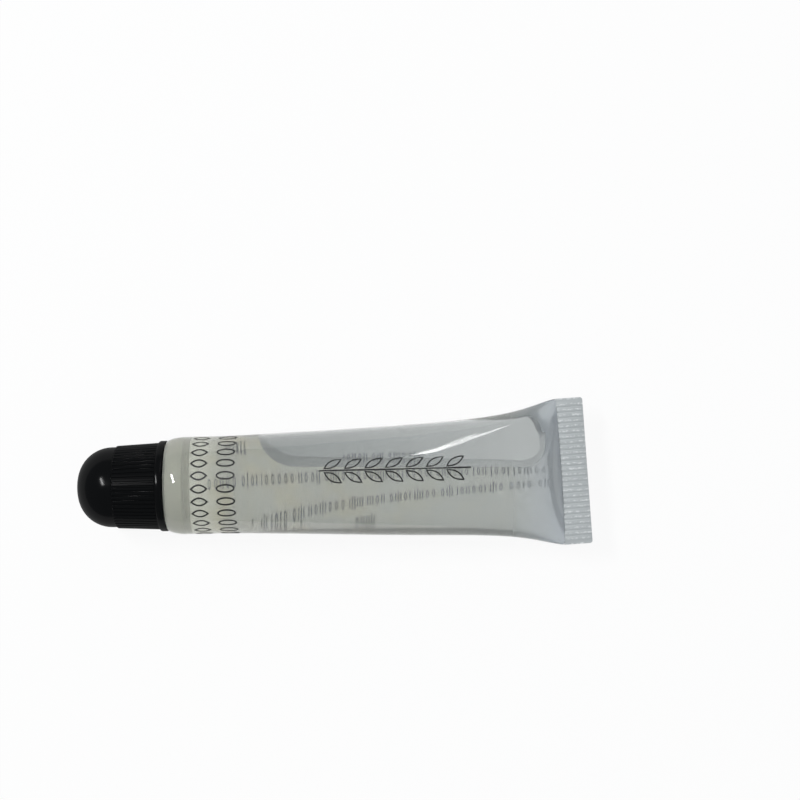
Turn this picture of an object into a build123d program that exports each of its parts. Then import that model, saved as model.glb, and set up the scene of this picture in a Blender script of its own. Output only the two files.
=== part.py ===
from build123d import *
import math
import os

# Lip gloss tube: a soft clear squeeze tube with a flat sealed tail and a black domed screw cap.
#
# The tube lies on its side. +X runs from the cap to the sealed tail, the seal lies level along Y,
# and +Z is up. The origin is on the surface it lies on, below the middle of the whole tube.
# Each piece is made about the tube's axis, with x = 0 at the sleeve's front face,
# and all pieces are set down together at the end.

# Sleeve: extruded polyethylene tube, round at the shoulder and sealed flat at the tail
sleeve_diameter = 19.0
sleeve_wall = 0.45
sleeve_length = 81.75
round_length = 10.75       # stretch from the front face that stays truly round
shoulder_length = 3.05     # how far back the sleeve's easy curve over the shoulder reaches
shoulder_edge_diameter = 17.7
mouth_diameter = 14.6      # hole in the sleeve's front face, filled by the head
slow_flattening = 0.31     # share of the flattening that comes on gently along the whole sleeve
slow_power = 1.2
bell_power = 13.0          # how late the rest of the flattening comes, just before the seal
loft_slices = 16           # ovals that the flattening part is lofted through
slice_crowding = 1.5       # how much closer together they stand towards the seal

# Seal: the heat-crimped tail
seal_width = 28.6
seal_length = 5.0
seal_corner = 0.7
ridge_pitch = 1.05
ridge_groove_width = 0.5
ridge_groove_depth = 0.12
ridge_margin = 0.5         # plain border round the ridges

# Tail sway: the soft tail bends a little to one side in the plane of the seal
sway_length = 45.0
sway_angle = 3.0

# Head: moulded shoulder and threaded neck
shoulder_skirt = 0.5       # straight edge of the shoulder disc, behind its round
neck_diameter = 12.0       # thread root
neck_height = 6.2
neck_bore = 8.6
neck_edge = 0.4
collar_diameter = 12.8     # plain collar at the foot of the neck
collar_height = 0.9

# Applicator tip: slanted lip applicator pressed into the neck
tip_diameter = 9.6
tip_height = 7.8           # above the neck
tip_slant = 38.0           # degrees from square across
tip_plug_length = 5.0
tip_bore = 5.6
tip_orifice = 2.0
tip_nose_thickness = 1.6
tip_edge = 0.6
plug_lead_in = 0.3

# Cap: one black moulding, smooth dome, fine grip ribs and a smooth band at the rim
cap_length = 17.45
dome_diameter = 15.6
dome_tip_flat = 2.4
grip_top_diameter = 16.1
grip_end_diameter = 16.9
grip_start = 7.6           # from the tip of the dome
band_diameter = 17.65
band_width = 1.5
band_shoulder = 0.35       # round on the band's edge beside the ribs
band_rim_edge = 0.12
rib_count = 60
rib_groove_width = 0.42
rib_groove_depth = 0.22
thread_bore = 13.4         # clear bore over the neck thread
nose_bore = 11.0           # narrower bore round the applicator
dome_wall = 1.6
nose_bore_round = 3.6

# Seal ring: soft washer in the cap, pressed on the end of the neck
washer_thickness = 0.8
washer_bore = 10.0
washer_diameter = 12.8

# Gloss: clear gel with one long pocket of air along one side of the sleeve
shoulder_headroom = 0.1
pocket_start = 17.25       # from the sleeve's front face
pocket_end = 73.75
pocket_level = 4.4         # the gel's free surface stands this far to the side of the axis
pocket_lean = -1.8         # degrees, the free surface leans against the axis
pocket_front_round = 8.0
pocket_back_round = 5.0

# Clearances between pieces
rim_gap = 0.15             # cap rim to the sleeve's front face
fit_gap = 0.05             # head in sleeve, tip in neck
fill_gap = 0.10            # gel to wall
washer_gap = 0.05          # washer to neck, and washer to cap


sleeve_radius = sleeve_diameter / 2
flat_start = sleeve_length - seal_length
seal_thickness = 2 * sleeve_wall
shoulder_back = shoulder_length + shoulder_skirt


def tail_frame(station):
    """Plane square to the tube's centre line at a distance from the front face."""
    bent = max(0.0, station - (sleeve_length - sway_length))
    turn = math.radians(sway_angle) * bent / sway_length
    bend_radius = sway_length / math.radians(sway_angle)
    x = min(station, sleeve_length - sway_length) + bend_radius * math.sin(turn)
    y = bend_radius * (1 - math.cos(turn))
    ahead = (math.cos(turn), math.sin(turn), 0)
    across = (-math.sin(turn), math.cos(turn), 0)
    return Plane(origin=(x, y, 0), x_dir=across, z_dir=ahead)


def flatness(station):
    """0 where the sleeve is round, 1 where it is flat."""
    along = max(0.0, (station - round_length) / (flat_start - round_length))
    return slow_flattening * along**slow_power + (1 - slow_flattening) * along**bell_power


def sleeve_section(station, inset):
    """Oval across the sleeve, drawn in from the outside. The wall keeps its length round the oval."""
    flat = flatness(station)
    half_width = sleeve_radius * (1 + flat) - (sleeve_diameter - seal_width / 2) * flat**2
    half_height = sleeve_radius + (seal_thickness / 2 - sleeve_radius) * flat
    return tail_frame(station) * Ellipse(half_width - inset, half_height - inset)


def shoulder_body(start, inset):
    """Front of the sleeve: an easy curve from the front face to the full diameter, drawn in by an inset."""
    full = (shoulder_length, sleeve_radius - inset)
    edge = (start, shoulder_edge_diameter / 2 - inset)
    curve = TangentArc(full, edge, tangent=(-1, 0))
    rest = Polyline(edge, (start, 0), (shoulder_length, 0), full)
    return revolve(make_face(curve + rest), Axis.X)


def sleeve_body(start, end, inset):
    """Solid that fills the sleeve between two stations, round first and then lofted flat."""
    barrel = Plane.YZ.offset(start) * Circle(sleeve_radius - inset)
    barrel = extrude(barrel, round_length - start)
    shares = [1 - (1 - count / loft_slices) ** slice_crowding for count in range(loft_slices + 1)]
    stations = [round_length + (end - round_length) * share for share in shares]
    return barrel + loft([sleeve_section(station, inset) for station in stations])


def crimp_plate():
    """Flat sealed end with fine pressed ridges on both faces."""
    plate = Pos(seal_length / 2, 0, 0) * Box(seal_length, seal_width, seal_thickness)
    corners = plate.edges().filter_by(Axis.Z).group_by(Axis.X)[-1]
    plate = fillet(corners, seal_corner)
    ridges = int((seal_width - 2 * ridge_margin) / ridge_pitch)
    groove = Box(seal_length - 2 * ridge_margin, ridge_groove_width, 2 * ridge_groove_depth)
    for face_height in (-seal_thickness / 2, seal_thickness / 2):
        row = Pos(seal_length / 2, 0, face_height) * GridLocations(0, ridge_pitch, 1, ridges)
        plate -= [place * groove for place in row]
    foot = tail_frame(flat_start)
    turn = math.degrees(math.atan2(foot.z_dir.Y, foot.z_dir.X))
    return Pos(foot.origin) * Rot(0, 0, turn) * plate


def tube_sleeve():
    end_of_cavity = flat_start - sleeve_wall * 2
    outside = shoulder_body(0, 0) + sleeve_body(shoulder_length, flat_start, 0)
    cavity = sleeve_body(shoulder_length, end_of_cavity, sleeve_wall)
    cavity += shoulder_body(sleeve_wall, sleeve_wall)
    mouth = extrude(Plane.YZ * Circle(mouth_diameter / 2), 2 * sleeve_wall)
    return outside + crimp_plate() - cavity - mouth


def tube_head():
    """Shoulder disc that closes the sleeve, with the neck standing on it."""
    inset = sleeve_wall + fit_gap
    skirt = extrude(Plane.YZ.offset(shoulder_length) * Circle(sleeve_radius - inset), shoulder_skirt)
    disc = shoulder_body(inset, inset) + skirt
    spigot = extrude(Plane.YZ * Circle(mouth_diameter / 2 - fit_gap), shoulder_back / 2)
    collar = extrude(Plane.YZ * Circle(collar_diameter / 2), -collar_height)
    neck = extrude(Plane.YZ * Circle(neck_diameter / 2), -neck_height)
    neck = fillet(neck.edges().sort_by(Axis.X)[0], neck_edge)
    bore = Plane.YZ.offset(-neck_height) * Circle(neck_bore / 2)
    bore = extrude(bore, neck_height + 2 * shoulder_back)
    return disc + spigot + collar + neck - bore


def sloping_face():
    """Plane of the applicator's sloping face, with its origin on the tube's axis."""
    slant = math.radians(tip_slant)
    middle = -neck_height - tip_height + math.tan(slant) * tip_diameter / 2
    return Plane(origin=(middle, 0, 0), x_dir=(0, 1, 0), z_dir=(-math.cos(slant), 0, math.sin(slant)))


def slanted_end(depth):
    """Everything in front of the applicator's sloping face, or of a face that lies deeper by a depth."""
    reach = 4 * (tip_height + tip_diameter)
    above = (Align.CENTER, Align.CENTER, Align.MIN)
    return sloping_face().offset(-depth) * Box(reach, reach, reach, align=above)


def applicator_tip():
    """Slanted nose with a small hole in its sloping face, over a plug pressed into the neck."""
    land = Plane.YZ.offset(-neck_height)
    nose = extrude(land * Circle(tip_diameter / 2), -tip_height) - slanted_end(0)
    slope = nose.faces().sort_by(Axis.X)[0]
    nose = fillet(slope.edges(), tip_edge)
    plug = extrude(land * Circle(neck_bore / 2 - fit_gap), tip_plug_length)
    plug = chamfer(plug.edges().sort_by(Axis.X)[-1], plug_lead_in)
    bore = extrude(land.offset(tip_plug_length) * Circle(tip_bore / 2), -tip_plug_length - tip_height)
    bore = bore - slanted_end(tip_nose_thickness)
    orifice = sloping_face() * Cylinder(tip_orifice / 2, 4 * tip_nose_thickness)
    return nose + plug - bore - orifice


def air_pocket():
    """Space past the gel's free surface, rounded where the surface curls up to the wall."""
    length = pocket_end - pocket_start
    foot = Pos(pocket_start, pocket_level, 0) * Rot(0, 0, pocket_lean)
    corner = (Align.MIN, Align.MIN, Align.CENTER)
    space = Box(length, 2 * sleeve_diameter, 2 * sleeve_diameter, align=corner)
    front = space.edges().filter_by(Axis.Z).group_by(Axis.Y)[0].sort_by(Axis.X)[0]
    space = fillet(front, pocket_front_round)
    back = space.edges().filter_by(Axis.Z).group_by(Axis.X)[-1].sort_by(Axis.Y)[0]
    return foot * fillet(back, pocket_back_round)


def gloss_fill():
    """Gel that fills the sleeve behind the head, short of the pocket of air."""
    inset = sleeve_wall + fill_gap
    start = shoulder_back + shoulder_headroom
    end = flat_start - sleeve_wall * 2 - fill_gap * 2
    return sleeve_body(start, end, inset) - air_pocket()


def seal_ring():
    outer = Circle(washer_diameter / 2)
    ring = Plane.YZ.offset(-neck_height - washer_gap) * (outer - Circle(washer_bore / 2))
    return extrude(ring, -washer_thickness)


def cap_moulding():
    """Turned profile of the cap without its band: dome, taper for the ribs and stepped bore."""
    rim = -rim_gap
    tip = rim - cap_length
    dome_round = (dome_diameter - dome_tip_flat) / 2
    bore_end = tip + dome_wall
    seat = -neck_height - washer_thickness - 2 * washer_gap
    dome = CenterArc((tip + dome_round, dome_tip_flat / 2), dome_round, 180, -90)
    grip = Polyline(
        (tip + dome_round, dome_diameter / 2),
        (tip + grip_start, dome_diameter / 2),
        (tip + grip_start, grip_top_diameter / 2),
        (rim, grip_end_diameter / 2),
        (rim, thread_bore / 2),
        (seat, thread_bore / 2),
        (seat, nose_bore / 2),
        (bore_end + nose_bore_round, nose_bore / 2),
    )
    bore_flat = nose_bore / 2 - nose_bore_round
    crown = CenterArc((bore_end + nose_bore_round, bore_flat), nose_bore_round, 180, -90)
    axis_line = Polyline((bore_end, bore_flat), (bore_end, 0), (tip, 0), (tip, dome_tip_flat / 2))
    return revolve(make_face(dome + grip + crown + axis_line), Axis.X)


def rib_grooves():
    """One sharp groove along the taper of the grip, repeated all the way round between the ribs."""
    start = -rim_gap - cap_length + grip_start
    rise = (grip_end_diameter - grip_top_diameter) / 2
    run = cap_length - grip_start
    run_out = rib_groove_depth
    slope = rise / run
    foot = (start - run_out, 0, grip_top_diameter / 2 - slope * run_out)
    lay = Plane(origin=foot, x_dir=(0, 1, 0), z_dir=(run, 0, rise))
    half = rib_groove_width / 2
    overshoot = rib_groove_depth / 2
    groove = lay * Polygon((-half, overshoot), (half, overshoot), (0, -rib_groove_depth), align=None)
    groove = extrude(groove, math.hypot(run, rise) + 2 * run_out)
    return [Rot(360 * turn / rib_count, 0, 0) * groove for turn in range(rib_count)]


def cap():
    band = Plane.YZ.offset(-rim_gap) * (Circle(band_diameter / 2) - Circle(thread_bore / 2))
    band = extrude(band, -band_width)
    for end, radius in ((0, band_shoulder), (-1, band_rim_edge)):
        outer_edges = band.edges().filter_by(GeomType.CIRCLE).group_by(SortBy.RADIUS)[-1]
        band = fillet(outer_edges.sort_by(Axis.X)[end], radius)
    return cap_moulding() - rib_grooves() + band


pieces = {
    "tube_sleeve": tube_sleeve(),
    "tube_head": tube_head(),
    "applicator_tip": applicator_tip(),
    "gloss_fill": gloss_fill(),
    "seal_ring": seal_ring(),
    "cap": cap(),
}

reach = Compound(children=[piece.solid() for piece in pieces.values()]).bounding_box()
set_down = Pos(-reach.center().X, -reach.center().Y, -reach.min.Z)

os.makedirs("parts", exist_ok=True)
for name, piece in pieces.items():
    export_step(set_down * piece, f"parts/{name}.step")
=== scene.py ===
import math
import random

import bmesh
import bpy
from mathutils import Matrix, Quaternion, Vector


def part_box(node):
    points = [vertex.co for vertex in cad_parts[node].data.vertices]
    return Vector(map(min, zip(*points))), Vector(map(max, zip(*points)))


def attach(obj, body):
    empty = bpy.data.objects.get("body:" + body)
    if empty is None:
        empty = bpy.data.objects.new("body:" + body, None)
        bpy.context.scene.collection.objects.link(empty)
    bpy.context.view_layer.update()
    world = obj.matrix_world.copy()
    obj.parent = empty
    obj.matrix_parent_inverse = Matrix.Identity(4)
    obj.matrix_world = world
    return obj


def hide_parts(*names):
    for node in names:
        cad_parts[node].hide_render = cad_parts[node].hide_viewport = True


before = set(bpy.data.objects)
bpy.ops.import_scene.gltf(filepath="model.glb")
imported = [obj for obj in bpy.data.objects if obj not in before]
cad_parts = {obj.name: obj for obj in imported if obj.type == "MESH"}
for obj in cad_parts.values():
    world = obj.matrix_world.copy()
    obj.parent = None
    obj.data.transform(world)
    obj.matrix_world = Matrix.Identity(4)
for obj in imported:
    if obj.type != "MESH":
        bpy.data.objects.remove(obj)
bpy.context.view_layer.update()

MM = 0.001
TINY = 1e-6                  # two points closer than this are one

# ---------------------------------------------------------------- places, from the frame

cap_low, cap_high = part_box("cap")
sleeve_low, sleeve_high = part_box("tube_sleeve")
AXIS_Y = (cap_low[1] + cap_high[1]) / 2
AXIS_Z = (cap_low[2] + cap_high[2]) / 2
FRONT_X = sleeve_low[0]

# ---------------------------------------------------------------- sizes of the tube

SLEEVE_RADIUS = (sleeve_high[2] - sleeve_low[2]) / 2
SLEEVE_LENGTH = 81.75 * MM
ROUND_LENGTH = 10.75 * MM    # stretch from the front face that stays truly round
SHOULDER_LENGTH = 3.05 * MM
SHOULDER_EDGE_RADIUS = 8.85 * MM
MOUTH_RADIUS = 7.3 * MM
WALL = 0.45 * MM
SEAL_LENGTH = 5 * MM
SEAL_WIDTH = 28.6 * MM
SEAL_THICKNESS = 2 * WALL
RIDGE_PITCH = 1.05 * MM
SLOW_SHARE, SLOW_POWER, BELL_POWER = 0.31, 1.2, 13.0
SWAY_LENGTH = 45 * MM
SWAY_ANGLE = math.radians(3)
FLAT_START = SLEEVE_LENGTH - SEAL_LENGTH
RING_CROWDING = 1.5          # draws rings closer together towards the seal, where the form changes fast

# cap and its quick thread
RIB_COUNT = 60
GRIP_START = 7.6 * MM
GRIP_TOP_RADIUS, GRIP_END_RADIUS = 8.05 * MM, 8.45 * MM
BAND_WIDTH = 1.5 * MM
BAND_RADIUS = (cap_high[2] - cap_low[2]) / 2
THREAD_BORE_RADIUS, NOSE_BORE_RADIUS = 6.7 * MM, 5.5 * MM
THREAD_LEAD = 6 * MM

# gel, and the pocket of air in it
GEL_INSET = 0.16 * MM        # the gel looks as wide as the sleeve, so its skin lies close to the outside
MENISCUS = 0.7 * MM
POCKET_START, POCKET_END, POCKET_ROUND = 17.25 * MM, 73.2 * MM, 3 * MM
POCKET_GAP = 0.14 * MM       # from the sleeve's outside to the pocket
GEL_MARGIN = 0.04 * MM       # from the pocket to the gel round it

# print
INK_LIFT = 0.03 * MM
INK_THICKNESS = 0.02 * MM
BAND_STROKE, BAND_PITCH, BAND_REACH = 0.32 * MM, 2.5 * MM, 12.6 * MM
BAR_PITCH, BAR_HEIGHT = 0.75 * MM, 1.2 * MM


# ---------------------------------------------------------------- modelling by hand, in small steps

def start_edit():
    """Enters edit mode on the active piece with nothing selected."""
    bpy.ops.object.mode_set(mode="EDIT")
    bpy.ops.mesh.select_all(action="DESELECT")


def end_edit():
    bpy.ops.object.mode_set(mode="OBJECT")


def new_piece(name, primitive, **settings):
    """Adds a primitive with everything else deselected, and names it."""
    bpy.ops.object.select_all(action="DESELECT")
    primitive(**settings)
    piece = bpy.context.active_object
    piece.name = name
    piece.data.name = name
    return piece


def make_active(piece):
    bpy.ops.object.select_all(action="DESELECT")
    piece.select_set(True)
    bpy.context.view_layer.objects.active = piece


def settle(piece):
    """Puts the piece's place, turn and scale into its mesh."""
    make_active(piece)
    bpy.ops.object.transform_apply(location=True, rotation=True, scale=True)


def pick(piece, kind, test):
    """Selects the vertices, edges or faces that pass a test, in edit mode."""
    bpy.ops.mesh.select_mode(type={"verts": "VERT", "edges": "EDGE", "faces": "FACE"}[kind])
    bpy.ops.mesh.select_all(action="DESELECT")
    mesh = bmesh.from_edit_mesh(piece.data)
    for item in getattr(mesh, kind):
        if test(item):
            item.select_set(True)
    mesh.select_flush_mode()
    bmesh.update_edit_mesh(piece.data)


def finish_mesh(piece, smooth_degrees=40):
    """Merges doubles, turns the faces outwards and shades smooth where the surface is smooth."""
    make_active(piece)
    start_edit()
    bpy.ops.mesh.select_all(action="SELECT")
    bpy.ops.mesh.remove_doubles(threshold=TINY)
    bpy.ops.mesh.normals_make_consistent(inside=False)
    end_edit()
    bpy.ops.object.shade_smooth_by_angle(angle=math.radians(smooth_degrees))


def apply_modifier(piece, kind, **settings):
    make_active(piece)
    modifier = piece.modifiers.new(kind.title(), kind)
    for key, value in settings.items():
        setattr(modifier, key, value)
    bpy.ops.object.modifier_apply(modifier=modifier.name)


# ---------------------------------------------------------------- the tube's form

def flatness(station):
    """0 where the sleeve is round, 1 where it is flat."""
    along = max(0.0, (station - ROUND_LENGTH) / (FLAT_START - ROUND_LENGTH))
    return SLOW_SHARE * along**SLOW_POWER + (1 - SLOW_SHARE) * along**BELL_POWER


def half_sizes(station):
    """Half width and half height of the sleeve at a distance behind the shoulder."""
    flat = flatness(station)
    wide = SLEEVE_RADIUS * (1 + flat) - (2 * SLEEVE_RADIUS - SEAL_WIDTH / 2) * flat**2
    high = SLEEVE_RADIUS + (SEAL_THICKNESS / 2 - SLEEVE_RADIUS) * flat
    return wide, high


def sway(piece):
    """Bends the tail of a straight piece to the side, as the sleeve's centre line runs."""
    bend_start = SLEEVE_LENGTH - SWAY_LENGTH
    bend_radius = SWAY_LENGTH / SWAY_ANGLE
    for vertex in piece.data.vertices:
        station = vertex.co.x - FRONT_X
        if station > bend_start:
            turn = (station - bend_start) / bend_radius
            aside = vertex.co.y - AXIS_Y
            vertex.co.x = FRONT_X + bend_start + (bend_radius - aside) * math.sin(turn)
            vertex.co.y = AXIS_Y + bend_radius - (bend_radius - aside) * math.cos(turn)


def draw_tube(name, rings, around=128):
    """Pulls a round face through rings of (x, half width, half height) along the tube's axis."""
    x, wide, high = rings[0]
    centre = (x, AXIS_Y, AXIS_Z)
    piece = new_piece(name, bpy.ops.mesh.primitive_circle_add, vertices=around, radius=1,
                      fill_type="NGON", location=centre, rotation=(0, math.pi / 2, 0))
    settle(piece)
    bpy.ops.object.mode_set(mode="EDIT")
    bpy.ops.mesh.select_all(action="SELECT")
    bpy.ops.transform.resize(value=(1, wide, high), center_override=centre)
    for new_x, new_wide, new_high in rings[1:]:
        bpy.ops.mesh.extrude_region_move(TRANSFORM_OT_translate={"value": (new_x - x, 0, 0)})
        centre = (new_x, AXIS_Y, AXIS_Z)
        bpy.ops.transform.resize(value=(1, new_wide / wide, new_high / high), center_override=centre)
        x, wide, high = new_x, new_wide, new_high
    end_edit()
    return piece


def stations(start, end, count):
    """Distances behind the shoulder from start to end, closer together towards the seal."""
    return [start + (end - start) * (1 - (1 - step / count) ** RING_CROWDING) for step in range(count + 1)]


def tube_rings(start, end, inset, count=64):
    """Rings along the sleeve, drawn in by an inset."""
    rings = []
    for station in stations(start, end, count):
        wide, high = half_sizes(station)
        rings.append((FRONT_X + station, wide - inset, high - inset))
    return rings


def shoulder_rings(inset=0.0, steps=10):
    """Rings of the easy curve over the shoulder, from the front face's edge to full size."""
    drop = SLEEVE_RADIUS - SHOULDER_EDGE_RADIUS
    curve_radius = (SHOULDER_LENGTH**2 + drop**2) / (2 * drop)
    rings = []
    for step in range(steps):
        back = SHOULDER_LENGTH * step / steps
        radius = SLEEVE_RADIUS - curve_radius + math.sqrt(curve_radius**2 - (SHOULDER_LENGTH - back)**2)
        rings.append((FRONT_X + max(back, inset), radius - inset, radius - inset))
    return rings


# ---------------------------------------------------------------- pieces

def make_sleeve():
    """The clear sleeve with the gel in it, as one block of one index: outside skin, recessed at the mouth."""
    recess, edge = 0.4 * MM, 0.01 * MM
    mouth = [
        (FRONT_X + recess, MOUTH_RADIUS / 2, MOUTH_RADIUS / 2),
        (FRONT_X + recess + edge, MOUTH_RADIUS, MOUTH_RADIUS),
        (FRONT_X, MOUTH_RADIUS, MOUTH_RADIUS),
    ]
    rings = mouth + shoulder_rings() + tube_rings(SHOULDER_LENGTH, FLAT_START, 0)
    sleeve = draw_tube("sleeve_clear", rings)
    sway(sleeve)
    finish_mesh(sleeve, 50)
    return sleeve


def pocket_space(shift):
    """Rounded slab past the gel's free surface, which a shift moves outwards."""
    level, lean, heel = 4.4 * MM, math.radians(-1.8), math.radians(-3)
    front_round, back_round = 8 * MM, 4 * MM
    length, deep = POCKET_END - POCKET_START, 24 * MM
    corner = Vector((FRONT_X + POCKET_START, AXIS_Y + level + shift, AXIS_Z))
    slab = new_piece("pocket_space", bpy.ops.mesh.primitive_cube_add, size=1,
                     location=corner + Vector((length / 2, deep / 2, 0)), scale=(length, deep, deep))
    settle(slab)
    start_edit()
    low_y = corner.y + TINY
    for at_end, radius in ((False, front_round), (True, back_round)):
        edge_x = corner.x + (length if at_end else 0)
        pick(slab, "edges", lambda e: all(abs(v.co.x - edge_x) < TINY and v.co.y < low_y for v in e.verts))
        bpy.ops.mesh.bevel(offset=radius, segments=12, affect="EDGES")
    bpy.ops.mesh.select_all(action="SELECT")
    bpy.ops.transform.rotate(value=-lean, orient_axis="Z", center_override=corner)
    bpy.ops.transform.rotate(value=heel, orient_axis="X", center_override=corner)
    end_edit()
    return slab


def pocket_rings(gap, over):
    """Rings of the room the pocket can take: drawn in at the side towards its far end, which is rounded."""
    first, count = 8 * MM, 72
    taper_depth, taper_start_mm, taper_length_mm = 0.5 * MM, 52, 18
    rings = []
    for station in stations(first, FLAT_START, count):
        wide, high = half_sizes(station)
        tapered = min(1.0, max(0.0, station / MM - taper_start_mm) / taper_length_mm)
        narrowing = taper_depth * tapered**2
        past = min(max(0.0, station - (POCKET_END - POCKET_ROUND)), POCKET_ROUND)
        rounding = POCKET_ROUND - math.sqrt(POCKET_ROUND**2 - past**2)
        rings.append((FRONT_X + station, wide - gap - narrowing - rounding, high + over))
    return rings


def cut_with(piece, cutter, operation):
    """Cuts a piece with a cutter, which is then thrown away."""
    apply_modifier(piece, "BOOLEAN", operation=operation, object=cutter, solver="EXACT")
    bpy.data.objects.remove(cutter)


def make_gel():
    """The gel's own skin, close inside the sleeve's, down to its free surface beside the pocket of air."""
    end_gap, over = 0.2 * MM, 1 * MM
    rings = shoulder_rings(GEL_INSET) + tube_rings(SHOULDER_LENGTH, FLAT_START - end_gap, GEL_INSET)
    gel = draw_tube("gloss_gel", rings)
    sway(gel)
    room = draw_tube("pocket_room", pocket_rings(POCKET_GAP - GEL_MARGIN, over))
    sway(room)
    cut_with(room, pocket_space(-GEL_MARGIN), "INTERSECT")
    cut_with(gel, room, "DIFFERENCE")
    finish_mesh(gel, 50)
    return gel


def make_pocket():
    """The pocket of air along one side of the gel, with a soft meniscus where it meets the wall."""
    pocket = draw_tube("air_pocket", pocket_rings(POCKET_GAP, -POCKET_GAP))
    sway(pocket)
    cut_with(pocket, pocket_space(0), "INTERSECT")
    finish_mesh(pocket, 50)
    apply_modifier(pocket, "BEVEL", width=MENISCUS, segments=4, limit_method="ANGLE",
                   angle_limit=math.radians(35))
    finish_mesh(pocket, 50)
    return pocket


def make_crimp():
    """The heat-sealed tail: one ridge cell, repeated across, with a plain border."""
    pitch, rise, border, lap, corner_round = RIDGE_PITCH, 0.12 * MM, 0.35 * MM, 0.3 * MM, 0.5 * MM
    flank, crest, crest_rise = 0.22 * pitch, 0.14 * pitch, rise * 0.35
    count = int((SEAL_WIDTH - 2 * border) / pitch)
    length, thick = SEAL_LENGTH + lap, SEAL_THICKNESS - 2 * rise
    start_x = FRONT_X + FLAT_START - lap
    first_y = AXIS_Y - pitch * count / 2
    crimp = new_piece("crimp_seal", bpy.ops.mesh.primitive_cube_add, size=1, scale=(length, pitch, thick),
                      location=(start_x + length / 2, first_y + pitch / 2, AXIS_Z))
    settle(crimp)
    start_edit()
    pick(crimp, "faces", lambda f: abs(f.normal.y) > 0.9)
    bpy.ops.mesh.delete(type="FACE")
    pick(crimp, "faces", lambda f: abs(f.normal.z) > 0.9)
    bpy.ops.mesh.inset(thickness=flank, use_individual=True)
    bpy.ops.transform.shrink_fatten(value=rise)
    bpy.ops.mesh.inset(thickness=crest, use_individual=True)
    bpy.ops.transform.shrink_fatten(value=crest_rise)
    end_edit()
    apply_modifier(crimp, "ARRAY", count=count, use_relative_offset=False, use_constant_offset=True,
                   constant_offset_displace=(0, pitch, 0), use_merge_vertices=True, merge_threshold=TINY)
    start_edit()
    side = pitch * count / 2 - TINY
    for way in (-1, 1):
        pick(crimp, "edges", lambda e: e.is_boundary and all((v.co.y - AXIS_Y) * way > side for v in e.verts))
        reach = (SEAL_WIDTH / 2 - pitch * count / 2) * way
        bpy.ops.mesh.extrude_edges_move(TRANSFORM_OT_translate={"value": (0, reach, 0)})
        bpy.ops.mesh.edge_face_add()
    corner_x = start_x + length - TINY
    pick(crimp, "edges", lambda e: all(v.co.x > corner_x and abs(v.co.y - AXIS_Y) > SEAL_WIDTH / 2 - TINY
                                       for v in e.verts))
    bpy.ops.mesh.bevel(offset=corner_round, segments=5, affect="EDGES")
    end_edit()
    sway(crimp)
    finish_mesh(crimp, 35)
    return crimp


def cap_rings():
    """Rings down the outside of the cap from its tip to the rim, then back up its stepped bore."""
    tip, rim = cap_low[0], cap_high[0]
    grip, band = tip + GRIP_START, rim - BAND_WIDTH
    seat, crown = FRONT_X - 7.1 * MM, tip + 1.6 * MM
    tip_flat, dome_round, dome_steps = 1.2 * MM, 6.6 * MM, 14
    crown_round, crown_steps = 3.6 * MM, 7
    rings = []
    for step in range(dome_steps + 1):
        angle = math.pi / 2 * step / dome_steps
        rings.append((tip + dome_round * (1 - math.cos(angle)), tip_flat + dome_round * math.sin(angle)))
    # small step out to the grip, and its slope down to the band
    rings += [(grip - 0.06 * MM, 7.8 * MM), (grip + 0.06 * MM, 7.98 * MM),
              (grip + 0.14 * MM, GRIP_TOP_RADIUS), (band - 0.02 * MM, GRIP_END_RADIUS)]
    # band with a rounded shoulder and a broken edge at the rim
    rings += [(band, 8.5 * MM), (band + 0.05 * MM, 8.64 * MM), (band + 0.16 * MM, 8.76 * MM),
              (band + 0.35 * MM, BAND_RADIUS), (rim - 0.12 * MM, BAND_RADIUS),
              (rim - 0.04 * MM, BAND_RADIUS - 0.04 * MM), (rim, BAND_RADIUS - 0.12 * MM)]
    # bore for the thread, seat of the washer, and the narrower bore for the applicator
    rings += [(rim, 6.9 * MM), (rim - 0.2 * MM, THREAD_BORE_RADIUS), (seat, THREAD_BORE_RADIUS),
              (seat - 0.01 * MM, NOSE_BORE_RADIUS)]
    for step in range(crown_steps + 1):
        angle = math.pi / 2 * step / crown_steps
        rings.append((crown + crown_round * (1 - math.sin(angle)),
                      NOSE_BORE_RADIUS - crown_round * (1 - math.cos(angle))))
    return [(x, radius, radius) for x, radius in rings]


def make_cap():
    """One black moulding: smooth dome, sixty fine ribs cut between shallow flutes, smooth band at the rim."""
    flute_edge, flute_depth, edge_round, columns_a_rib = 0.09 * MM, 0.2 * MM, 0.05 * MM, 4
    cap = draw_tube("cap_moulding", cap_rings(), around=RIB_COUNT * columns_a_rib)
    start = cap_low[0] + GRIP_START + 0.1 * MM
    end = cap_high[0] - BAND_WIDTH - 0.01 * MM
    past_bore = GRIP_TOP_RADIUS - 0.15 * MM     # faces nearer the axis are the bore's

    def in_flute(face):
        middle = face.calc_center_median()
        around = math.atan2(middle.z - AXIS_Z, middle.y - AXIS_Y) / math.tau * RIB_COUNT
        out = math.hypot(middle.y - AXIS_Y, middle.z - AXIS_Z)
        return start < middle.x < end and out > past_bore and around % 1 < 0.5

    start_edit()
    pick(cap, "faces", in_flute)
    bpy.ops.mesh.inset(thickness=flute_edge)
    bpy.ops.transform.shrink_fatten(value=-flute_depth)
    end_edit()
    finish_mesh(cap, 30)
    apply_modifier(cap, "BEVEL", width=edge_round, segments=2, limit_method="ANGLE",
                   angle_limit=math.radians(30))
    finish_mesh(cap, 30)
    return cap


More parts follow.
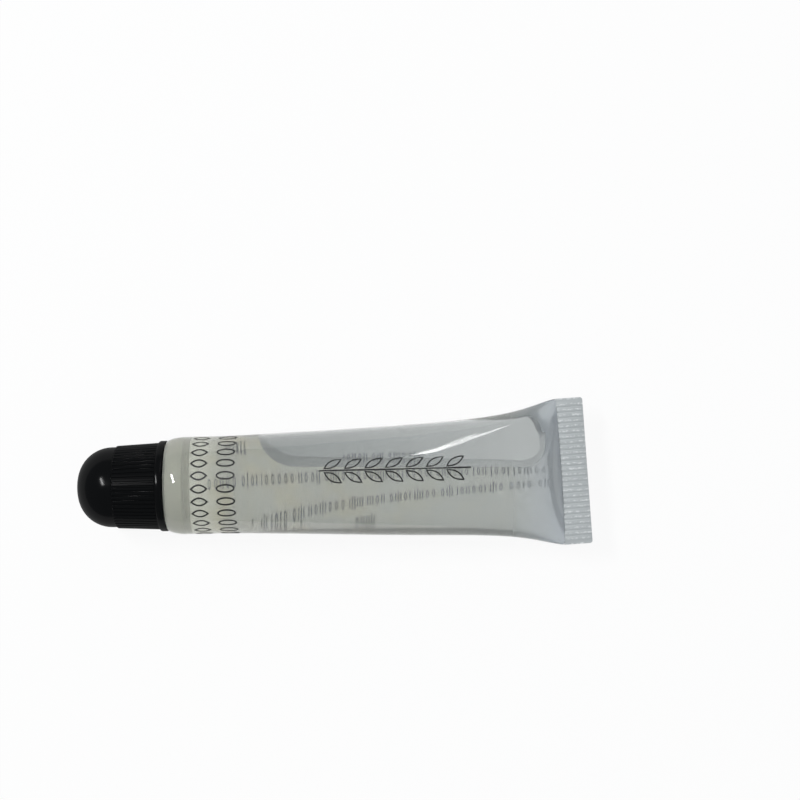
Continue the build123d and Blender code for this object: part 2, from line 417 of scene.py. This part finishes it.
def make_thread(name, start_x, root, crest, width, turn_degrees, starts=3):
    """A quick thread of several starts: one ridge wound to the right about the axis, and its copies."""
    degrees_a_step = 5
    steps = int(turn_degrees / degrees_a_step)
    half_root, half_crest = width / 2, width / 5
    ridge = new_piece(f"{name}_ridge", bpy.ops.mesh.primitive_circle_add, vertices=4, radius=1,
                      fill_type="NOTHING", rotation=(math.pi / 2, 0, 0))
    settle(ridge)
    corners = ((-half_root, root), (-half_crest, crest), (half_crest, crest), (half_root, root))
    order = sorted(ridge.data.vertices, key=lambda v: math.atan2(v.co.z, v.co.x))
    for vertex, (along, out) in zip(order, corners):
        vertex.co = (along, 0, out)
    ridge.location = (start_x, AXIS_Y, AXIS_Z)
    turn = math.radians(turn_degrees)
    apply_modifier(ridge, "SCREW", axis="X", angle=turn, screw_offset=THREAD_LEAD * turn / math.tau,
                   steps=steps, render_steps=steps, use_merge_vertices=False)
    start_edit()
    reach = width * 1.01         # an open end is one root's width long
    for furthest in (min, max):
        end_x = furthest(v.co.x for v in ridge.data.vertices)
        pick(ridge, "edges", lambda e: e.is_boundary and all(abs(v.co.x - end_x) < reach for v in e.verts))
        bpy.ops.mesh.edge_face_add()
    end_edit()
    settle(ridge)
    ridges = [ridge]
    for start in range(1, starts):
        copy = copy_of(ridge, f"{name}_ridge_{start}")
        make_active(copy)
        start_edit()
        bpy.ops.mesh.select_all(action="SELECT")
        bpy.ops.transform.rotate(value=math.tau * start / starts, orient_axis="X",
                                 center_override=(start_x, AXIS_Y, AXIS_Z))
        end_edit()
        ridges.append(copy)
    thread = join(name, ridges)
    finish_mesh(thread, 30)
    return thread


def lay_on(print_piece, skin):
    """Wraps a flat print round the sleeve and gives the ink its thickness."""
    apply_modifier(print_piece, "SHRINKWRAP", target=skin, wrap_method="NEAREST_SURFACEPOINT",
                   wrap_mode="ABOVE_SURFACE", offset=INK_LIFT)
    apply_modifier(print_piece, "SOLIDIFY", thickness=INK_THICKNESS, offset=1)
    finish_mesh(print_piece, 60)


def hollow_out(outline, length, width, side_stroke, end_stroke):
    """Fills a closed outline at the origin inwards, as a drawn line of its stroke's width."""
    make_active(outline)
    start_edit()
    bpy.ops.mesh.select_all(action="SELECT")
    bpy.ops.mesh.extrude_edges_move()
    bpy.ops.transform.resize(value=(1 - 2 * end_stroke / length, 1 - 2 * side_stroke / width, 1),
                             center_override=(0, 0, 0))
    end_edit()
    return outline


def leaf_outline(name, length, width, stroke):
    """One almond-shaped leaf drawn as an outline, lying flat at the origin along X."""
    leaf = new_piece(name, bpy.ops.mesh.primitive_circle_add, vertices=32, radius=1, fill_type="NOTHING")
    for vertex in leaf.data.vertices:
        along = vertex.co.x
        vertex.co.y = math.copysign(width / 2 * (1 - along**2), vertex.co.y)
        vertex.co.x = along * length / 2
    tip_stroke = stroke * math.hypot(length, 2 * width) / (2 * width)
    return hollow_out(leaf, length, width, stroke, tip_stroke)


def ring_outline(name, length, width, stroke):
    """One open oval drawn as an outline, lying flat at the origin."""
    ring = new_piece(name, bpy.ops.mesh.primitive_circle_add, vertices=32, radius=0.5, fill_type="NOTHING")
    ring.scale = (length, width, 1)
    settle(ring)
    return hollow_out(ring, length, width, stroke, stroke)


def stroke_bar(name, length, width):
    """One plain stroke along X, cut across so that it can bend with the sleeve."""
    bar = new_piece(name, bpy.ops.mesh.primitive_grid_add, x_subdivisions=12, y_subdivisions=2, size=1)
    bar.scale = (length, width, 1)
    settle(bar)
    return bar


def copy_of(piece, name):
    copy = piece.copy()
    copy.data = piece.data.copy()
    copy.name = copy.data.name = name
    bpy.context.collection.objects.link(copy)
    return copy


def join(name, parts):
    bpy.ops.object.select_all(action="DESELECT")
    for part in parts:
        part.select_set(True)
    bpy.context.view_layer.objects.active = parts[0]
    bpy.ops.object.join()
    joined = bpy.context.active_object
    joined.name = joined.data.name = name
    return joined


def band_of(name, motif, station):
    """Repeats a motif round the upper half of the sleeve at one distance behind the shoulder."""
    copies = []
    steps = int(BAND_REACH / BAND_PITCH)
    for step in range(-steps, steps + 1):
        copy = copy_of(motif, f"{name}_{step}")
        turn = step * BAND_PITCH / SLEEVE_RADIUS
        copy.rotation_euler = (turn, 0, 0)
        copy.location = (FRONT_X + station, AXIS_Y - SLEEVE_RADIUS * math.sin(turn),
                         AXIS_Z + SLEEVE_RADIUS * math.cos(turn))
        settle(copy)
        copies.append(copy)
    bpy.data.objects.remove(motif)
    return join(name, copies)


def make_sprig():
    """A leafy sprig drawn in hairlines along the middle of the sleeve: one stem with pairs of leaves."""
    stem_length, stem_width = 29 * MM, 0.3 * MM
    leaf_length, leaf_width, leaf_stroke = 4.2 * MM, 1.7 * MM, 0.28 * MM
    pairs, first_pair, pair_pitch = 7, 2.6 * MM, 3.9 * MM
    leaf_aside, leaf_turn = 1.5 * MM, math.radians(34)
    centre_x, centre_y, top = FRONT_X + 44.3 * MM, AXIS_Y + 3.1 * MM, AXIS_Z + SLEEVE_RADIUS
    stem = stroke_bar("stem", stem_length, stem_width)
    stem.location = (centre_x, centre_y, top)
    settle(stem)
    parts = [stem]
    for pair in range(pairs):
        for way in (-1, 1):
            leaf = leaf_outline(f"leaf_{pair}_{way}", leaf_length, leaf_width, leaf_stroke)
            leaf.rotation_euler = (0, 0, way * leaf_turn)
            leaf.location = (centre_x - stem_length / 2 + first_pair + pair * pair_pitch,
                             centre_y + way * leaf_aside, top)
            settle(leaf)
            parts.append(leaf)
    return join("sprig", parts)


def make_fine_row(name, along, aside, seed):
    """A row of small upright strokes and ovals on the underside, in groups, growing a little to the tail."""
    heights_mm = {"tall": 1.25, "short": 0.85, "oval": 0.85}
    stroke, oval_length, oval_stroke = 0.22 * MM, 0.62 * MM, 0.18 * MM
    before_oval, after_oval, after_stroke, after_group = 0.42 * MM, 0.85 * MM, 0.5 * MM, 0.5 * MM
    growth_a_mm, grown_from_mm = 0.007, 10
    chance = random.Random(seed)
    marks = []
    (start, end), (start_aside, end_aside) = along, aside
    station = start
    while station < end:
        for _ in range(chance.choice((4, 6, 7, 9))):
            kind = chance.choice(("tall", "short", "short", "oval", "oval"))
            grown = 1 + growth_a_mm * (station / MM - grown_from_mm)
            height = heights_mm[kind] * grown * MM
            mark_name = f"{name}_{len(marks)}"
            if kind == "oval":
                mark = ring_outline(mark_name, oval_length, height, oval_stroke)
                station += before_oval
            else:
                mark = stroke_bar(mark_name, stroke, height)
            share = (station - start) / (end - start)
            mark.location = (FRONT_X + station, AXIS_Y + start_aside + (end_aside - start_aside) * share,
                             AXIS_Z - half_sizes(station)[1])
            settle(mark)
            marks.append(mark)
            station += after_oval if kind == "oval" else after_stroke
            if station > end:
                break
        station += after_group
    return join(name, marks)


def make_bars(name, station, aside, count=9):
    """A short block of upright bars on the underside, every third one thicker."""
    thin, thick = 0.3 * MM, 0.5 * MM
    bars = []
    for step in range(count):
        bar = stroke_bar(f"{name}_{step}", thin if step % 3 else thick, BAR_HEIGHT)
        bar.location = (FRONT_X + station + step * BAR_PITCH, AXIS_Y + aside, AXIS_Z - SLEEVE_RADIUS)
        settle(bar)
        bars.append(bar)
    return join(name, bars)


# ---------------------------------------------------------------- materials

COLOUR_A, COLOUR_B, MIXED = 6, 7, 2    # a colour Mix node's own sockets among those of its other kinds


def linear(hex_colour):
    """An sRGB hex colour as linear red, green, blue and alpha."""
    parts = [int(hex_colour[i:i + 2], 16) / 255 for i in (0, 2, 4)]
    return [p / 12.92 if p <= 0.04045 else ((p + 0.055) / 1.055) ** 2.4 for p in parts] + [1.0]


def add_node(tree, kind, settings=None, sockets=None, links=None):
    """Adds a node with its settings, its sockets' values and the links into it."""
    node = tree.nodes.new(kind)
    for name, value in (settings or {}).items():
        setattr(node, name, value)
    for name, value in (sockets or {}).items():
        node.inputs[name].default_value = value
    for name, source in (links or {}).items():
        tree.links.new(source, node.inputs[name])
    return node


def new_material(name):
    material = bpy.data.materials.new(name)
    material.use_nodes = True
    material.node_tree.nodes.clear()
    return material, material.node_tree


def surface(tree, shader):
    add_node(tree, "ShaderNodeOutputMaterial", links={"Surface": shader.outputs[0]})


def wear(piece, material):
    """Gives a piece its material, in the record's slot."""
    piece.data.materials.clear()
    piece.data.materials.append(material)


def soft_noise(tree, size_mm, detail=2.0):
    """Cloudy variation of a real size, laid by place on the piece."""
    place = add_node(tree, "ShaderNodeTexCoord")
    return add_node(tree, "ShaderNodeTexNoise", sockets={"Scale": 1 / (size_mm * MM), "Detail": detail},
                    links={"Vector": place.outputs["Object"]})


def uneven(tree, size_mm, low, high):
    """A roughness that wanders between two values, as moulded and handled skins do."""
    return add_node(tree, "ShaderNodeMapRange", sockets={"To Min": low, "To Max": high},
                    links={"Value": soft_noise(tree, size_mm).outputs["Fac"]})


def place_along(tree):
    """How far a point lies along the tube, in the frame's metres."""
    place = add_node(tree, "ShaderNodeTexCoord")
    return add_node(tree, "ShaderNodeSeparateXYZ", links={0: place.outputs["Object"]}).outputs["X"]


def clear_polyethylene():
    """Extruded low-density polyethylene film: clear, a touch hazy, with a faint wave from being squeezed."""
    material, tree = new_material("clear_polyethylene")
    wave = soft_noise(tree, 6.0, 1.0)
    bump = add_node(tree, "ShaderNodeBump", sockets={"Strength": 0.05, "Distance": 0.3 * MM},
                    links={"Height": wave.outputs["Fac"]})
    shader = add_node(tree, "ShaderNodeBsdfPrincipled",
                      sockets={"Base Color": linear("f4f6f4"), "Roughness": 0.04, "IOR": 1.51,
                               "Transmission Weight": 0.96},
                      links={"Normal": bump.outputs["Normal"]})
    surface(tree, shader)
    return material


def heat_sealed_polyethylene():
    """The same film pressed between hot jaws: whitened and scattering, with painted highlights in broken
    dashes along the ridges' crests.
    """
    material, tree = new_material("heat_sealed_polyethylene")
    place = add_node(tree, "ShaderNodeTexCoord")
    bend_radius = SWAY_LENGTH / SWAY_ANGLE
    bend_start = FRONT_X + SLEEVE_LENGTH - SWAY_LENGTH
    offset = (AXIS_Y + bend_radius) * math.cos(SWAY_ANGLE) - bend_radius - bend_start * math.sin(SWAY_ANGLE)
    along_ridges = add_node(tree, "ShaderNodeMapping",
                            sockets={"Rotation": (0, 0, -SWAY_ANGLE), "Location": (0, -offset, 0)},
                            links={"Vector": place.outputs["Object"]})
    # a Wave texture of scale 1 has twenty bands in tau metres
    crests = add_node(tree, "ShaderNodeTexWave", settings={"bands_direction": "Y"},
                      sockets={"Scale": math.tau / (20 * RIDGE_PITCH), "Distortion": 1.2, "Detail": 1.0,
                               "Detail Scale": 2.0},
                      links={"Vector": along_ridges.outputs["Vector"]})
    # painted highlights: the ridge crests are painted paler in broken patches, as glints of light along the
    # ridges
    patches = soft_noise(tree, 0.6)
    painted_crest_highlights = add_node(tree, "ShaderNodeMath", settings={"operation": "MULTIPLY"},
                      links={0: crests.outputs["Fac"], 1: patches.outputs["Fac"]})
    spread = add_node(tree, "ShaderNodeMapRange", sockets={"From Min": 0.38, "From Max": 0.66},
                      links={"Value": painted_crest_highlights.outputs[0]})
    # c4c9ca is the whitened film; f2f5f5 is the painted highlight on the crests
    tone = add_node(tree, "ShaderNodeMix", settings={"data_type": "RGBA"},
                    sockets={COLOUR_A: linear("c4c9ca"), COLOUR_B: linear("f2f5f5")},
                    links={0: spread.outputs["Result"]})
    bump = add_node(tree, "ShaderNodeBump", sockets={"Strength": 0.2, "Distance": 0.1 * MM},
                    links={"Height": patches.outputs["Fac"]})
    shader = add_node(tree, "ShaderNodeBsdfPrincipled",
                      sockets={"Roughness": 0.3, "IOR": 1.51, "Alpha": 0.82},
                      links={"Base Color": tone.outputs[MIXED], "Normal": bump.outputs["Normal"]})
    surface(tree, shader)
    return material


def gloss_gel():
    """Clear polybutene gloss, stirred with silica: it bends light as its film does, so its skin only tints.

    Its grey is painted shade, for the dimmer surroundings seen through the clear gel; it is warmer in
    patches, and paler and cooler towards the tail. The pale stretch at the head is painted light over the
    shade behind the head's skirt, and the paler, bluer, less clear stretch before the seal is painted light
    and reflection.
    """
    material, tree = new_material("polybutene_gel")
    along = place_along(tree)
    to_tail = add_node(tree, "ShaderNodeMapRange",
                       sockets={"From Min": sleeve_low[0], "From Max": sleeve_high[0]},
                       links={"Value": along})
    cloud = soft_noise(tree, 14.0)
    drift = add_node(tree, "ShaderNodeMath", settings={"operation": "MULTIPLY_ADD"}, sockets={1: 0.3},
                     links={0: cloud.outputs["Fac"], 2: to_tail.outputs["Result"]})
    warm_patch = add_node(tree, "ShaderNodeMapRange", sockets={"From Min": 0.5, "From Max": 0.7},
                          links={"Value": soft_noise(tree, 5.0, 1.0).outputs["Fac"]})
    # painted shade: the gel's grey, bfc0b7, stands in for the dimmer surroundings seen through it
    warmed = add_node(tree, "ShaderNodeMix", settings={"data_type": "RGBA"},
                      sockets={COLOUR_A: linear("bfc0b7"), COLOUR_B: linear("c8c2a6")},
                      links={0: warm_patch.outputs["Result"]})
    cooled = add_node(tree, "ShaderNodeMix", settings={"data_type": "RGBA"},
                      sockets={COLOUR_B: linear("c9ccca")},
                      links={0: drift.outputs[0], COLOUR_A: warmed.outputs[MIXED]})
    # painted light and reflection: paler and bluer over the last stretch before the seal, on its steep
    # slopes; it is also less clear there
    thin_end = add_node(tree, "ShaderNodeMapRange",
                        sockets={"From Min": FRONT_X + 66 * MM, "From Max": FRONT_X + FLAT_START},
                        links={"Value": along})
    thinned = add_node(tree, "ShaderNodeMix", settings={"data_type": "RGBA"},
                       sockets={COLOUR_B: linear("e1e6ed")},
                       links={0: thin_end.outputs["Result"], COLOUR_A: cooled.outputs[MIXED]})
    # painted light: the gel is paled just behind the head to lift the shade behind the head's skirt
    painted_light_at_head = add_node(tree, "ShaderNodeMapRange",
                       sockets={"From Min": FRONT_X + 11 * MM, "From Max": FRONT_X + 6.6 * MM},
                       links={"Value": along})
    tone = add_node(tree, "ShaderNodeMix", settings={"data_type": "RGBA"},
                    sockets={COLOUR_B: linear("dedfd4")},
                    links={0: painted_light_at_head.outputs["Result"], COLOUR_A: thinned.outputs[MIXED]})
    clearness = add_node(tree, "ShaderNodeMapRange", sockets={"To Min": 0.72, "To Max": 0.5},
                         links={"Value": thin_end.outputs["Result"]})
    shader = add_node(tree, "ShaderNodeBsdfPrincipled", sockets={"Roughness": 0.0, "IOR": 1.0},
                      links={"Base Color": tone.outputs[MIXED],
                             "Transmission Weight": clearness.outputs["Result"]})
    surface(tree, shader)
    return material


def pocket_air():
    """Air inside the gel: light bends the other way at its skin, which is greyed with painted shade like the
    gel's, most in front.
    """
    material, tree = new_material("air_in_gel")
    wave = soft_noise(tree, 9.0, 1.0)
    bump = add_node(tree, "ShaderNodeBump", sockets={"Strength": 0.15, "Distance": 0.3 * MM},
                    links={"Height": wave.outputs["Fac"]})
    to_end = add_node(tree, "ShaderNodeMapRange",
                      sockets={"From Min": FRONT_X + 20 * MM, "From Max": FRONT_X + POCKET_END},
                      links={"Value": place_along(tree)})
    # painted shade: the pocket's skin is tinted grey, a2a6a7 at the front easing to c9cccd at its far end
    tone = add_node(tree, "ShaderNodeMix", settings={"data_type": "RGBA"},
                    sockets={COLOUR_A: linear("a2a6a7"), COLOUR_B: linear("c9cccd")},
                    links={0: to_end.outputs["Result"]})
    shader = add_node(tree, "ShaderNodeBsdfPrincipled",
                      sockets={"Roughness": 0.02, "IOR": 1 / 1.5, "Transmission Weight": 0.86},
                      links={"Base Color": tone.outputs[MIXED], "Normal": bump.outputs["Normal"]})
    surface(tree, shader)
    return material


def screen_ink(name, hex_colour):
    """Screen-printed ink, thin and dead flat in colour but for a little unevenness in how it took."""
    material, tree = new_material(name)
    shader = add_node(tree, "ShaderNodeBsdfPrincipled",
                      sockets={"Base Color": linear(hex_colour), "IOR": 1.5},
                      links={"Roughness": uneven(tree, 0.8, 0.35, 0.6).outputs["Result"]})
    surface(tree, shader)
    return material


def black_polypropylene():
    """Injection-moulded black polypropylene: deep black, faintly orange-peeled.

    Its soft gloss is a thin coat with nothing shining under it, so the turned-away edges stay black.
    """
    material, tree = new_material("black_polypropylene")
    peel = soft_noise(tree, 1.6, 1.0)
    bump = add_node(tree, "ShaderNodeBump", sockets={"Strength": 0.08, "Distance": 0.05 * MM},
                    links={"Height": peel.outputs["Fac"]})
    shader = add_node(tree, "ShaderNodeBsdfPrincipled",
                      sockets={"Base Color": linear("0b0c0d"), "IOR": 1.49, "Specular IOR Level": 0.0,
                               "Coat Weight": 0.17, "Coat Roughness": 0.14, "Coat IOR": 1.49},
                      links={"Normal": bump.outputs["Normal"],
                             "Roughness": uneven(tree, 5.0, 0.16, 0.26).outputs["Result"]})
    surface(tree, shader)
    return material


def milky_polyethylene(name, hex_colour):
    """Moulded natural polyethylene: milky, as half the light goes through, with a satin skin."""
    material, tree = new_material(name)
    shader = add_node(tree, "ShaderNodeBsdfPrincipled",
                      sockets={"Base Color": linear(hex_colour), "IOR": 1.51, "Transmission Weight": 0.48},
                      links={"Roughness": uneven(tree, 4.0, 0.3, 0.42).outputs["Result"]})
    surface(tree, shader)
    return material


def foam():
    """Closed-cell polyethylene foam, die cut: matt, off-white, with fine cells."""
    material, tree = new_material("closed_cell_foam")
    place = add_node(tree, "ShaderNodeTexCoord")
    cells = add_node(tree, "ShaderNodeTexVoronoi", sockets={"Scale": 1 / (0.35 * MM)},
                     links={"Vector": place.outputs["Object"]})
    bump = add_node(tree, "ShaderNodeBump", sockets={"Strength": 0.5, "Distance": 0.08 * MM},
                    links={"Height": cells.outputs["Distance"]})
    shader = add_node(tree, "ShaderNodeBsdfPrincipled",
                      sockets={"Base Color": linear("dcdad2"), "Roughness": 0.75, "IOR": 1.5},
                      links={"Normal": bump.outputs["Normal"]})
    surface(tree, shader)
    return material


# ---------------------------------------------------------------- studio

def shown_background(tree):
    """1 for the camera and for what gloss and clear plastic show of the background, 0 for plain light."""
    path = add_node(tree, "ShaderNodeLightPath")
    seen = add_node(tree, "ShaderNodeMath", settings={"operation": "MAXIMUM"},
                    links={0: path.outputs["Is Camera Ray"], 1: path.outputs["Is Glossy Ray"]})
    return add_node(tree, "ShaderNodeMath", settings={"operation": "MAXIMUM"},
                    links={0: seen.outputs[0], 1: path.outputs["Is Transmission Ray"]})


def make_floor():
    """Plain white table: most of its white is its own, so it stays white, and the rest takes the shadow."""
    own_white = 0.92
    floor = new_piece("studio_floor", bpy.ops.mesh.primitive_plane_add, size=6, location=(0, 0, 0))
    material, tree = new_material("white_table")
    paint = add_node(tree, "ShaderNodeBsdfDiffuse", sockets={"Color": (0.95, 0.95, 0.95, 1)})
    glow = add_node(tree, "ShaderNodeEmission", sockets={"Color": (1, 1, 1, 1), "Strength": 1.0})
    share = add_node(tree, "ShaderNodeMath", settings={"operation": "MULTIPLY"}, sockets={1: own_white},
                     links={0: shown_background(tree).outputs[0]})
    mix = add_node(tree, "ShaderNodeMixShader",
                   links={0: share.outputs[0], 1: paint.outputs[0], 2: glow.outputs[0]})
    surface(tree, mix)
    floor.data.materials.append(material)


def make_world():
    """Even grey light from all round, with white behind everything."""
    world = bpy.data.worlds.new("studio")
    bpy.context.scene.world = world
    world.use_nodes = True
    tree = world.node_tree
    tree.nodes.clear()
    path = add_node(tree, "ShaderNodeLightPath")
    shown = add_node(tree, "ShaderNodeMath", settings={"operation": "MAXIMUM"},
                     links={0: path.outputs["Is Camera Ray"], 1: path.outputs["Is Transmission Ray"]})
    light = add_node(tree, "ShaderNodeBackground", sockets={"Color": (0.92, 0.96, 1.0, 1), "Strength": 0.38})
    backdrop = add_node(tree, "ShaderNodeBackground", sockets={"Color": (1, 1, 1, 1), "Strength": 1.0})
    mix = add_node(tree, "ShaderNodeMixShader",
                   links={0: shown.outputs[0], 1: light.outputs[0], 2: backdrop.outputs[0]})
    add_node(tree, "ShaderNodeOutputWorld", links={"Surface": mix.outputs[0]})


def make_lamp(name, place, size, watts, aim=(0, 0, 0), spin=0):
    """A rectangular lamp that faces a point near the tube, spun about its own beam by some degrees."""
    data = bpy.data.lights.new(name, "AREA")
    data.shape = "RECTANGLE"
    data.size, data.size_y = size
    data.energy = watts
    lamp = bpy.data.objects.new(name, data)
    bpy.context.collection.objects.link(lamp)
    lamp.location = place
    facing = (Vector(aim) - Vector(place)).to_track_quat("-Z", "Y")
    lamp.rotation_euler = (facing @ Quaternion((0, 0, 1), math.radians(spin))).to_euler()


def make_camera():
    """Looks nearly straight down on the tube from 300 mm above its axis."""
    sensor_mm, lens_mm = 36, 69.2
    tilt_x, tilt_y, roll = -0.026415, -0.000759, -0.023830
    data = bpy.data.cameras.new("camera")
    data.sensor_width = sensor_mm
    data.lens = lens_mm
    camera = bpy.data.objects.new("camera", data)
    bpy.context.collection.objects.link(camera)
    turn = Matrix.Rotation(tilt_x, 3, "X") @ Matrix.Rotation(tilt_y, 3, "Y") @ Matrix.Rotation(roll, 3, "Z")
    camera.rotation_euler = turn.to_euler()
    camera.location = (12.872 * MM, 22.595 * MM, 309.5 * MM)
    bpy.context.scene.camera = camera


# ---------------------------------------------------------------- the tube

sleeve = make_sleeve()
gel = make_gel()
pocket = make_pocket()
crimp = make_crimp()
cap = make_cap()
neck_thread = make_thread("neck_thread", start_x=FRONT_X - 5.0 * MM, root=5.95 * MM, crest=6.45 * MM,
                          width=0.8 * MM, turn_degrees=200)
cap_thread = make_thread("cap_thread", start_x=FRONT_X - 4.0 * MM, root=6.75 * MM, crest=6.25 * MM,
                         width=0.7 * MM, turn_degrees=130)

band_leaf = leaf_outline("leaf", length=3.4 * MM, width=1.8 * MM, stroke=BAND_STROKE)
front_band = band_of("front_band", band_leaf, station=6.95 * MM)
band_oval = ring_outline("oval", length=3.6 * MM, width=1.7 * MM, stroke=BAND_STROKE)
back_band = band_of("back_band", band_oval, station=12.0 * MM)
sprig = make_sprig()
rows = [
    make_fine_row("fine_row_upper", along=(7 * MM, 74 * MM), aside=(-0.7 * MM, 1.2 * MM), seed=3),
    make_fine_row("fine_row_lower", along=(14 * MM, 74.5 * MM), aside=(-3.85 * MM, -1.15 * MM), seed=5),
    make_fine_row("fine_row_short", along=(34 * MM, 49 * MM), aside=(4.8 * MM, 4.8 * MM), seed=7),
    make_fine_row("fine_row_last", along=(36 * MM, 40 * MM), aside=(-5.0 * MM, -5.0 * MM), seed=9),
    make_bars("bars_upper", station=8.5 * MM, aside=1.9 * MM),
    make_bars("bars_lower", station=13.5 * MM, aside=-4.25 * MM),
]

for print_piece in (front_band, back_band, sprig, *rows):
    lay_on(print_piece, sleeve)

wear(sleeve, clear_polyethylene())
wear(crimp, heat_sealed_polyethylene())
wear(gel, gloss_gel())
wear(pocket, pocket_air())
black_ink = screen_ink("black_screen_ink", "17191b")
pale_ink = screen_ink("pale_screen_ink", "28488a")
for print_piece in (front_band, back_band, sprig):
    wear(print_piece, black_ink)
for row in rows:
    wear(row, pale_ink)
black = black_polypropylene()
wear(cap, black)
wear(cap_thread, black)
milky = milky_polyethylene("milky_head", "fafaf6")
wear(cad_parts["tube_head"], milky)
wear(neck_thread, milky)
wear(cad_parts["applicator_tip"], milky_polyethylene("milky_applicator", "d8d9d4"))
wear(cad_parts["seal_ring"], foam())

for piece in (sleeve, crimp, gel, pocket, front_band, back_band, sprig, *rows, neck_thread):
    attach(piece, "tube")
for piece in (cap, cap_thread):
    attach(piece, "cap")
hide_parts("tube_sleeve")
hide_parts("tube_sleeve")
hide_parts("gloss_fill")
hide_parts("cap")

make_floor()
make_world()
make_lamp("soft_box", place=(-0.41, 0.32, 0.80), size=(0.34, 0.08), watts=5.0, spin=62)
make_lamp("strip_light", place=(0.085, 0.755, 0.50), size=(0.016, 0.50), watts=0.24, aim=(0.02, 0, 0.01))
make_camera()
bpy.context.scene.view_settings.view_transform = "Standard"
